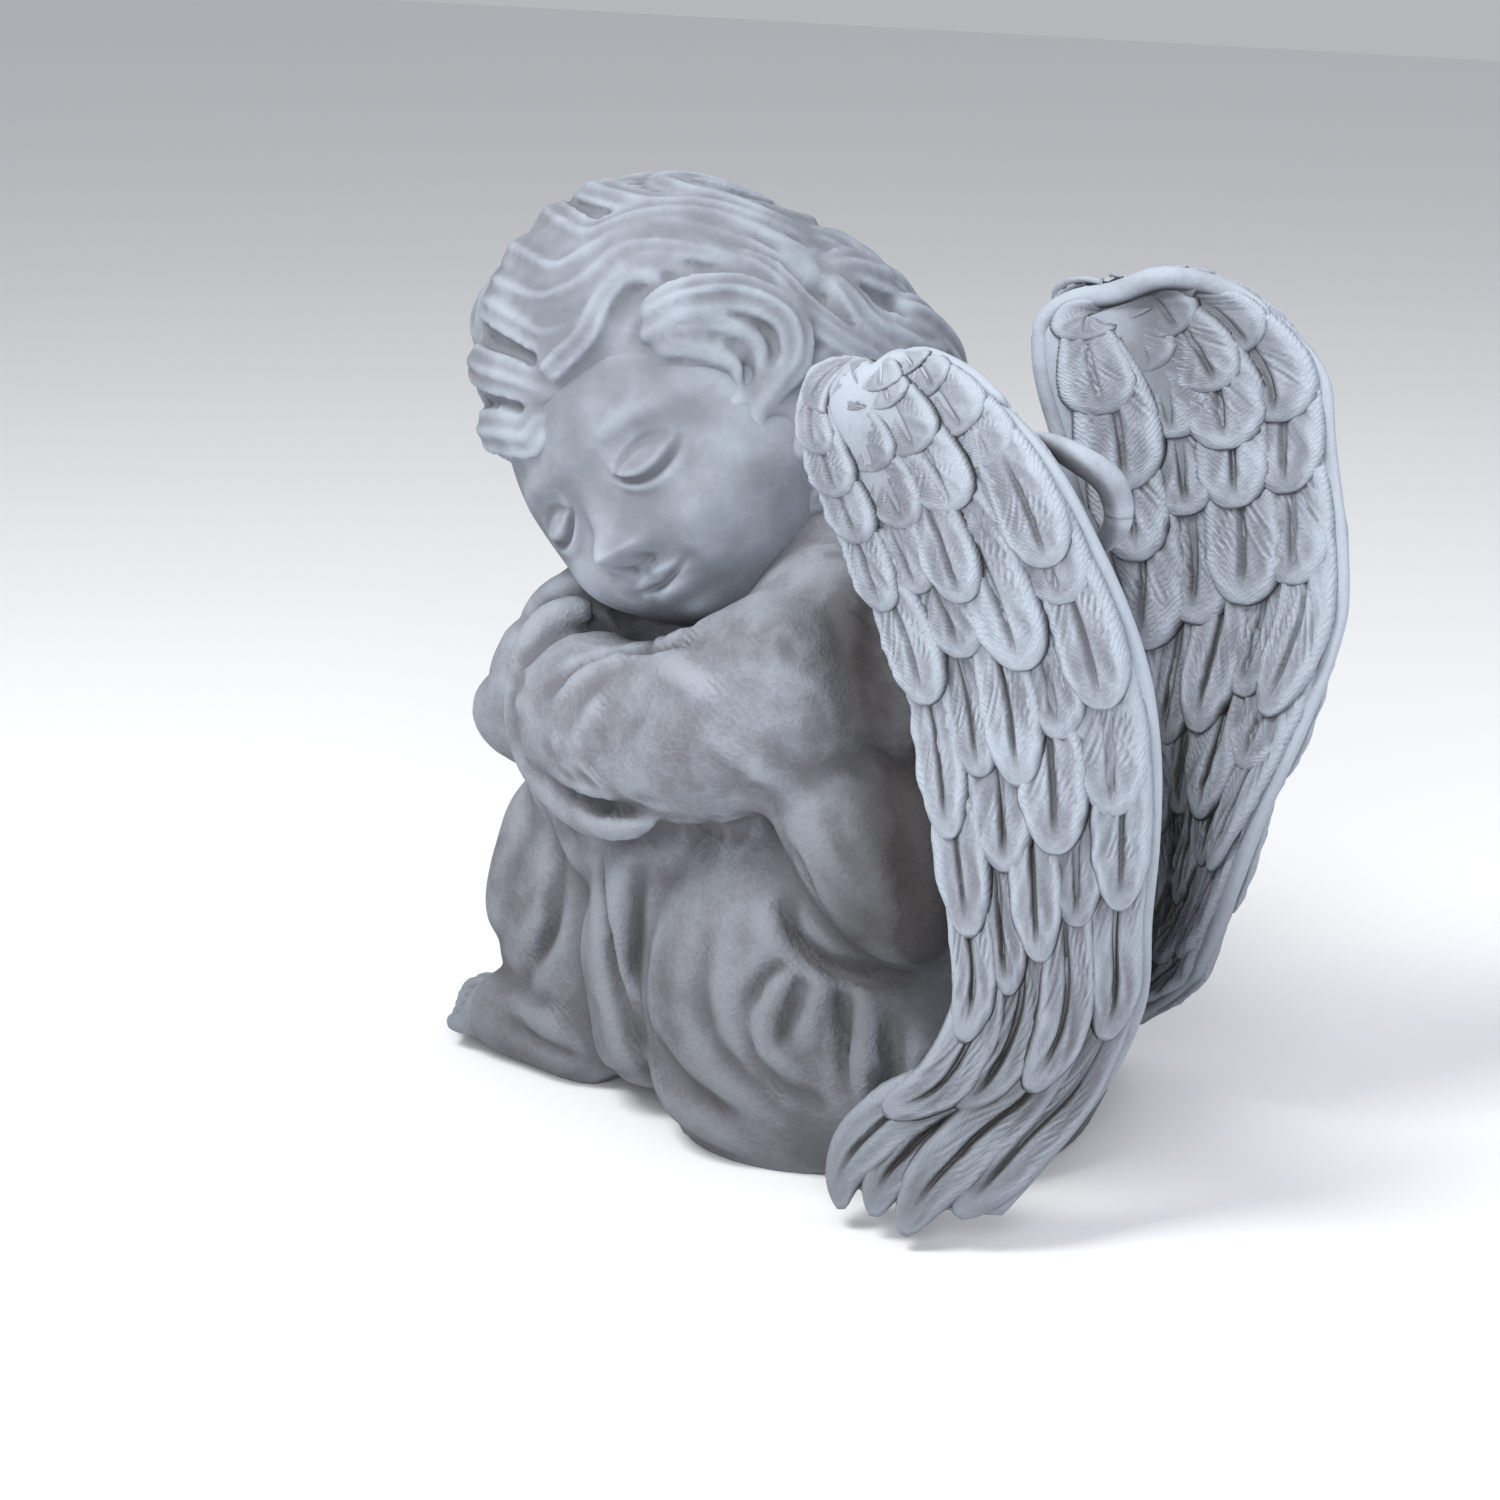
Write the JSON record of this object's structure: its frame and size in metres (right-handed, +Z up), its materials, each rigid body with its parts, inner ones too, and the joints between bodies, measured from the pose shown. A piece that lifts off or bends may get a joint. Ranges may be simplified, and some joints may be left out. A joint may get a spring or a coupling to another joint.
{
  "type": "angel statue",
  "caption": "Cast stone garden and grave figure of a winged cherub that sits with its head laid on its folded arms.",
  "frame": {"origin": "centre of the bounding box on the ground plane that the figure sits on", "axes": "+Z up, the figure faces -Y, its left side is +X"},
  "size_m": [0.15, 0.24, 0.24],
  "materials": {
    "cast_stone": "matte grey cast stone with a pale dry-brushed patina"
  },
  "bodies": {
    "root": {"angel": "cast_stone"}
  },
  "joints": []
}
